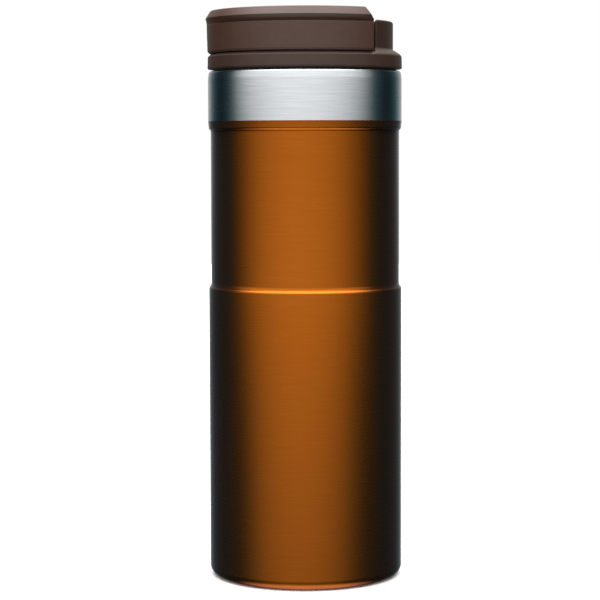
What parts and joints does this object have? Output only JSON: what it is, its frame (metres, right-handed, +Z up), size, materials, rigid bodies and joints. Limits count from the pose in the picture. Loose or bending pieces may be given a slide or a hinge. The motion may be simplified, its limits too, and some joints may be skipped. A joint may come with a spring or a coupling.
{
  "type": "vacuum travel mug",
  "caption": "Stepped double-wall vacuum travel mug in amber-lacquered and bare brushed steel, with a screw-in lid and a flip-top drinking cover hinged at the back.",
  "frame": {"origin": "centre of the mug on the plane that it stands on", "axes": "+Z up along the mug's axis; +X towards the cover's hinge block, so -X is the side that is drunk from; the cover's hinge lies along Y"},
  "size_m": [0.0738, 0.0746, 0.2127],
  "materials": {
    "amber_lacquer": "translucent amber lacquer over brushed steel, satin",
    "brushed_steel": "bare stainless, fine grain running round the mug",
    "liner_steel": "electropolished stainless, satin",
    "base_steel": "pressed stainless, circular grain",
    "foil": "thin radiation foil",
    "solder_glass": "fused glass solder",
    "getter": "sintered metal pellet",
    "spring_steel": "drawn stainless",
    "silicone": "matt food-grade silicone",
    "brown_plastic": "satin moulded polypropylene, fine spark texture",
    "plug_plastic": "satin moulded polypropylene"
  },
  "bodies": {
    "mug": {"outer_shell": "amber_lacquer", "mouth_band": "brushed_steel", "inner_liner": "liner_steel", "liner_bottom": "liner_steel", "heat_foil": "foil", "base_disc": "base_steel", "evacuation_seal": "solder_glass", "getter": "getter", "getter_clip": "spring_steel"},
    "seal_ring": {"lid_gasket": "silicone"},
    "lid": {"lid_body": "brown_plastic", "lid_plug": "plug_plastic", "drink_channel_seal": "silicone", "vent_channel_seal": "silicone", "hinge_pin": "spring_steel"},
    "cover": {"cover_shell": "brown_plastic", "cover_liner": "plug_plastic", "drink_seal": "silicone", "vent_seal": "silicone"}
  },
  "joints": [
    {"name": "lid_rise", "type": "slide", "parent": "mug", "child": "seal_ring", "axis": [0, 0, 1], "range_m": [0, 0.02]},
    {"name": "lid_turn", "type": "hinge", "parent": "seal_ring", "child": "lid", "pos_m": [0, 0, 0.191], "axis": [0, 0, 1], "range_deg": [0, 900]},
    {"name": "cover_flip", "type": "hinge", "parent": "lid", "child": "cover", "pos_m": [0.0285, 0, 0.2067], "axis": [0, 1, 0], "range_deg": [0, 120]}
  ],
  "couplings": [
    {"joint": "lid_rise", "follows": "lid_turn", "m_per_rad": 0.0012732}
  ]
}
